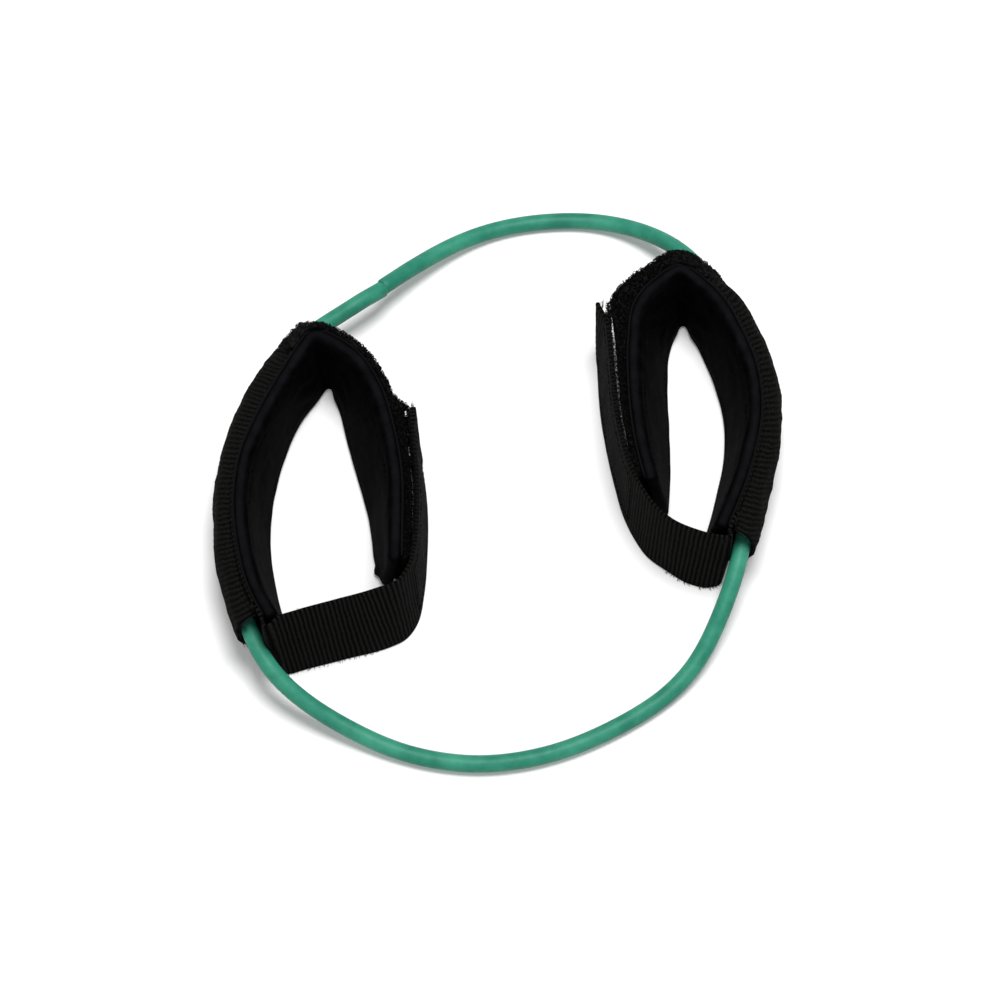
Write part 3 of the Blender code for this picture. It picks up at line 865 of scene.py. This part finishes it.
def make_fuzz(name, band):
    """The loop tape's loops, as small arcs of yarn that stand off its outer face and edges."""
    start, end = PILE[name]
    end += PILE_MORE[name]
    dice = random.Random(41 if name == "left" else 43)
    lines = []
    for index in range(LOOPS):
        s = dice.uniform(start + 0.5, end - 0.5)
        if dice.random() < 0.14:
            s = dice.uniform(band.fold - 1.5, band.fold + 1.7)
        near_top = dice.random() < 0.45 or s < TUNNEL[name][1]
        if near_top:
            h = PAD_HEIGHT - TAPE_EDGE - abs(dice.gauss(0, 2.0))
        else:
            h = dice.uniform(2.5, PAD_HEIGHT - 2.5)
        lean = dice.uniform(-1, 1)
        tall = dice.uniform(0.7, 1.6)
        wide = dice.uniform(0.35, 0.85)
        way = dice.uniform(0, math.pi)
        face = pile_face(name, band, s, h) - 0.3
        if s > SLACK_FROM[name][0] and dice.random() < 0.65:
            high = dice.uniform(28.0, 49.0)
            squeezed = pile_face(name, band, s, high) - 0.3
            if strap_reach(band, s, high) - squeezed < 3.6:
                face, h, tall, near_top = squeezed, high, dice.uniform(1.4, 2.5), False
        if near_top and dice.random() < 0.5:
            face = dice.uniform(PAD_THICKNESS + 0.6, face)
            h = PAD_HEIGHT - 1.9
        lines.append([])
        for along, up in yarn_arc(tall, wide):
            run = s + (along * math.cos(way) + lean * up * 0.3) * band.slower(s)
            out = face + up * (0.5 if near_top else 1.0)
            climb = up * (0.75 if near_top else 0.0)
            rise = h + along * math.sin(way) + climb + 0.2 * up * lean
            lines[-1].append(band.at(run, out, min(rise, HIGHEST_LOOP)))
    fuzz = thread_mesh(name, "pile_loops", lines, "_cuff")


def make_mouth_fuzz(name, band):
    """Loops on the end of the sleeve, where the pile tape is sewn over it."""
    dice = random.Random(51 if name == "left" else 53)
    end = TUNNEL[name][1]
    section = arch_section(name, band, SLANT[name])
    lines = []
    for index in range(MOUTH_LOOPS):
        s = end - 0.1 - 6.5 * dice.random() ** 2.2
        ring = section(s, 0.0)[9:36]
        w, h = ring[dice.randrange(len(ring))]
        tall = dice.uniform(0.5, 1.3)
        wide = dice.uniform(0.3, 0.7)
        way = dice.uniform(0, math.pi)
        tilt = (h - PAD_HEIGHT / 2) / 22.0
        lines.append([])
        for along, up in yarn_arc(tall, wide):
            run = s + along * math.cos(way) * band.slower(s)
            out = w - 0.3 + up * math.sqrt(max(1 - tilt * tilt, 0))
            rise = min(h + along * math.sin(way) + up * tilt, HIGHEST_LOOP)
            lines[-1].append(band.at(run, out, rise))
    fuzz = thread_mesh(name, "mouth_loops", lines, "_cuff")


def rib_relief(s, h, low, high, slant):
    """Height of the webbing's cross ribs, smooth along its woven edges."""
    edge = min(h - low, high - h)
    rib = abs(math.sin(math.pi * (s + slant * h) / RIB_PITCH)) ** 0.8
    rib *= 0.6 + 0.4 * uneven(s * 0.7, h, slant, 2.6)
    return 0.36 * rib * ramp((edge - 0.6) / 1.2) + 0.22 * bell(edge - 0.9, 0.7)


def make_strap(name, band):
    """The closing strap and its tail in one length of webbing, turned at its corner."""
    half = WEBBING / 2
    tip = band.length
    slant = RIB_LEAN[name]
    seed = 6.1 if name == "left" else 4.4

    def section(s, tuck):
        to_tip = tip - s
        drawn = TIP_DRAW[name] * max(1 - to_tip / 7.0, 0.0) ** 2
        points = slab(-half + tuck, half - tuck, tuck, PAD_HEIGHT - drawn - tuck, 0.6, 40, 3)
        bow = 0.8 * uneven(s, 0, seed, 18.0) + 0.4 * uneven(s, 0, seed, 7.0)
        bow *= ramp((s - LAP - 6) / 12)
        bulge = BULGE[name] * bell(s - LAP - 2.5, 4.2)
        flip = FLIP[name] * ramp((s - tip + 14) / 14) ** 2
        hem = HEM[name] * ramp((s - tip + 12) / 6)

        def ribs(w, h, nw):
            return rib_relief(s, h, 0, PAD_HEIGHT - drawn, slant) * (1 if nw < 0 else 0.6)

        made = []
        for w, h in relieved(points, ribs):
            out = w + bow * math.sin(math.pi * h / PAD_HEIGHT) - flip * (h / PAD_HEIGHT)
            out -= hem * (w < 0)
            made.append((out - bulge * math.sin(math.pi * (h + 5) / 60), h))
        return made

    stops = rounded_stops(0.3, tip, RIB_PITCH / 4, 0.5, 2)
    strap = loft(name + "_strap", band, stops, section, LOOKS["webbing"], None, 50, slant)
    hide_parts(name + "_closing_strap", name + "_strap_tail")
    before, corner, after = (band.at(CORNER[name] + step, 0, 0) for step in (-3, 0, 3))
    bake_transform(strap)


def hooks_part(name, band, s, h):
    """How far the hook tape stands off its webbing."""
    end = band.length - HOOK_SHORT[name]
    near = ramp((s - end + 14) / 14)
    part = HOOK_PART[name] * near ** 2 + 0.3 * uneven(s, 0, 2.9, 6.0) * near
    return max(part * (0.4 + 0.6 * h / PAD_HEIGHT), 0.0)


def make_hooks(name, band):
    """The hook tape on the tail's inner face, coming off the webbing at the tip, and its hooks."""
    start, end = CORNER[name] + 10.0, band.length - HOOK_SHORT[name]
    inner = WEBBING / 2 + 0.3

    def section(s, tuck):
        ground = inner + tuck, inner + HOOK_GROUND - tuck
        edges = HOOK_EDGE + tuck, PAD_HEIGHT - HOOK_EDGE - tuck
        points = slab(*ground, *edges, 0.4, 30, 2)
        return [(w + hooks_part(name, band, s, h), h) for w, h, nw, nh in points]

    stops = rounded_stops(start, end, 1.5, 0.4, 2)
    tape = loft(name + "_hooks", band, stops, section, LOOKS["hooks"], name + "_tail", 50)
    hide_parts(name + "_hook_tape")
    dice = random.Random(61 if name == "left" else 62)
    lines = []
    for s in spread(start + 1, end - 0.8, 1.35):
        for h in spread(HOOK_EDGE + 1, PAD_HEIGHT - HOOK_EDGE - 1, 1.35):
            s += dice.uniform(-0.2, 0.2)
            bend = dice.uniform(0.35, 0.6)
            root = inner + 1.25 + hooks_part(name, band, s, h)
            shape = ((0.0, 0.0), (0.5, 0.0), (0.75, 0.4), (0.55, 1.0))
            lines.append([band.at(s, root + out, h + over * bend) for out, over in shape])
    bristles = thread_mesh(name, "hook_bristles", lines, "_tail")


def stitch_line(band, corners, pitch=3.0, share=0.72, proud=0.12):
    """Stitches along a path of (s, w, h) corners. Each fills a share of the pitch."""
    lines = []
    for a, b in zip(corners, corners[1:]):
        span = math.dist(a, b)
        count = max(1, round(span / pitch))
        for index in range(count):
            lines.append([])
            for step in range(5):
                t = (index + 0.5 + (step / 4 - 0.5) * share) / count
                rise = proud * math.sin(math.pi * step / 4)
                s, w, h = (p + (q - p) * t for p, q in zip(a, b))
                lines[-1].append(band.at(s, w + math.copysign(rise, w), h))
    return lines


def make_stitches(name, pad, strap):
    """The seams: the sleeve's edges, the pad's inner face, the strap's lap and the hook tape."""
    out = SEWN_ON + WEBBING + 0.15
    start, end = SLEEVE[name]
    lines = []
    for h in (4.2, PAD_HEIGHT - 4.2):
        lines += stitch_line(pad, [(start + 1, out, h), (end - 3, out, h)])
    for h in (SEAM_IN, PAD_HEIGHT - SEAM_IN):
        inner = [(s, -0.10, h) for s in spread(2.0, pad.length - 2.0, 6.0)]
        lines += stitch_line(pad, inner)
    made = thread_mesh(name, "seams", lines, "_cuff")
    front = -(WEBBING / 2 + 0.22)
    box = [(1.5, front, 4), (7.0, front, 4), (7.0, front, 46), (1.5, front, 46), (1.5, front, 4)]
    lap = stitch_line(strap, box, 2.6)
    lap += stitch_line(strap, [box[0], box[2]], 2.6)
    lap += stitch_line(strap, [(LAP + 7.5, front, 2), (LAP + 7.5, front, 48)], 2.4)
    made = thread_mesh(name, "lap_stitches", lap, "_cuff")
    lines = []
    first, last = CORNER[name] + 11.0, strap.length - 3.0
    for h in (7.5, PAD_HEIGHT - 7.5):
        lines += stitch_line(strap, [(first, front, h), (last, front, h)])
    lines += stitch_line(strap, [(first, front, 7.5), (first, front, PAD_HEIGHT - 7.5)])
    made = thread_mesh(name, "tail_stitches", lines, "_tail")


def make_frays(name, pad, strap):
    """Loose ends of yarn at the cut ends of the webbing."""
    dice = random.Random(11 if name == "left" else 12)
    lines = []
    start, end = TUNNEL[name]
    for edge, way in ((start, -1), (end, 0.15)):
        rise = tunnel_crest(name, pad, edge) - PAD_THICKNESS - 2.0
        for index in range(MOUTH_FRAYS):
            angle = dice.uniform(0.02, math.pi - 0.02)
            lift = rise * max(math.sin(angle), 0.0) ** 0.85 + dice.uniform(0.2, 1.2)
            h = PAD_HEIGHT / 2 - 18.5 * math.cos(angle)
            reach = dice.uniform(0.5, 2.4) if dice.random() < 0.85 else dice.uniform(2.4, 4.5)
            bend = dice.uniform(-0.8, 0.8)
            lines.append([])
            for t in ALONG_FRAY:
                out = SEWN_ON + lift + bend * t * t * 0.8
                lines[-1].append(pad.at(edge + way * (reach * t - 0.6), out, h + bend * t))
    for index in range(LAP_FRAYS):
        s = dice.uniform(LAP + 2, CORNER[name] - 16)
        reach = dice.uniform(0.4, 1.6)
        bend = dice.uniform(-1, 1)
        lines.append([])
        for t in (0, 0.3, 0.6, 1):
            lines[-1].append(strap.at(s + bend * t * t, -0.7 - reach * t, 0.5 + 0.5 * t * bend))
    if name == "left":
        hair = [(27.5, -0.7, 48.6), (27.8, -1.1, 50.5), (27.0, -1.2, 52.4), (25.6, -0.9, 53.6)]
        lines.append([strap.at(*place) for place in hair])
    made = thread_mesh(name, "mouth_frays", lines, "_cuff")
    lines = []
    for index in range(TIP_FRAYS):
        h = dice.uniform(0.8, PAD_HEIGHT - 0.6)
        w = dice.uniform(-0.5, 0.5) - 1.1 * h / PAD_HEIGHT
        reach = dice.uniform(0.6, 2.6)
        bend = dice.uniform(-0.9, 0.9)
        lines.append([])
        for t in ALONG_FRAY:
            point = strap.place(strap.length - 0.05, w + bend * t * t, min(h + bend * t, 51.0))
            point.y += reach * t - 0.5
            lines[-1].append(to_part(point, strap.side))
    made = thread_mesh(name, "tip_frays", lines, "_tail")


def make_piping(name, pad):
    """The thin bound edge that shows between the pad's top edge and its sleeve."""
    stops, out = spread(2.5, pad.length - 2.5, 2.5), PAD_THICKNESS + 0.1
    lines = [[pad.at(s, out, h) for s in stops] for h in (1.3, PAD_HEIGHT - 1.3)]
    made = thread_mesh(name, "edge_cord", lines, "_cuff")


def in_sleeve(name, pad):
    """The tube's places inside one sleeve, from the pad's end towards its fold."""
    start, end = SLEEVE[name]
    made = []
    for step in range(7):
        point = pad.place(start + (end - start) * step / 6, TUBE_OFFSET, TUBE_HEIGHT)
        made.append((point.x * pad.side, point.y, point.z))
    return made


def eased(line, reach):
    """The line with its small kinks evened out over a few neighbours, its two ends kept."""
    made = []
    for index in range(len(line)):
        near = min(reach, index, len(line) - 1 - index)
        group = line[index - near:index + near + 1]
        made.append(sum(group, Vector((0, 0, 0))) / len(group))
    return made


def tube_line(left, right):
    first = JOINT + JOINT_AHEAD * PLUG_HALF
    last = JOINT - JOINT_AHEAD * PLUG_HALF
    route = [tuple(first)] + list(FAR_RUN) + in_sleeve("right", right)[::-1] + list(NEAR_RUN)
    route += in_sleeve("left", left) + list(LAST_RUN) + [tuple(last)]
    line = [Vector(place) for place, ahead in smooth(route, 4.0)]
    return eased(eased(line, 3), 3)


def make_tube(line):
    """The latex tube, hollow, its two cut ends butted together over the plug."""
    leave = [JOINT + JOINT_AHEAD * step for step in (0.12, 0.3, 0.7, 1.5, 4, 8)]
    arrive = [JOINT - JOINT_AHEAD * step for step in (8, 4, 1.5, 0.7, 0.3, 0.12)]
    line = leave + line + arrive
    steps = ((b - a).length for a, b in zip(line, line[1:]))
    reach = list(accumulate(steps, initial=0.0))
    total = reach[-1]
    sides = 24
    outer, bore = [], []
    up = Vector((0, 0, 1))
    for index, point in enumerate(line):
        ahead = (line[min(index + 1, len(line) - 1)] - line[max(index - 1, 0)]).normalized()
        up = (up - ahead * up.dot(ahead)).normalized()
        across = ahead.cross(up)
        end = min(reach[index], total - reach[index])
        share = TUBE_DRAWN - 0.14 * bell(end, 0.5) + 0.008 * uneven(reach[index], 0, 7.7, 30.0)
        step = Vector((0.5, -0.5, 0)) * ramp(1 - (total - reach[index]) / 16)
        outer += map(to_part, circle(point + step, across, up, TUBE_RADIUS * share, sides))
        bore += map(to_part, circle(point, across, up, TUBE_BORE, sides))
    count = len(outer)
    faces = skin_faces(len(line), sides, 0, False) + skin_faces(len(line), sides, count, False)
    for base in (0, count - sides):
        for side in range(sides):
            a, b = base + side, base + (side + 1) % sides
            faces.append((a, b, b + count, a + count))
    tube = add_mesh("tube", outer + bore, faces, LOOKS["latex"], None, 50)
    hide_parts("latex_tube")
    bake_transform(tube)


make_looks()
left_pad = pad_band(LEFT_WALL, LEFT_WING, 1)
right_pad = pad_band(RIGHT_WALL, RIGHT_WING, -1)
left_strap = strap_band(left_pad, LEFT_STRAP, 1)
right_strap = strap_band(right_pad, RIGHT_STRAP, -1)

add_camera()
band_line = tube_line(left_pad, right_pad)
make_tube(band_line)
for name, pad, strap in (("left", left_pad, left_strap), ("right", right_pad, right_strap)):
    pad.tube = [Vector((point.x * pad.side, point.y)) for point in band_line]
    tail = spread(strap.length - FACING_RUN, strap.length, 2.0)
    heights = [FACING_STEP * step for step in range(5)]
    pad.facing = [[strap.place(s, 0, h).xy for s in tail] for h in heights]
    for make in (make_pad, make_sleeve, make_piping, make_pile, make_fuzz, make_mouth_fuzz):
        make(name, pad)
    make_strap(name, strap)
    make_hooks(name, strap)
    make_stitches(name, pad, strap)
    make_frays(name, pad, strap)
for node in ("left_foam_core", "right_foam_core", "tube_joint_plug"):
    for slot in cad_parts[node].material_slots:
        slot.material = LOOKS["plug" if "plug" in node else "foam"]
add_studio()
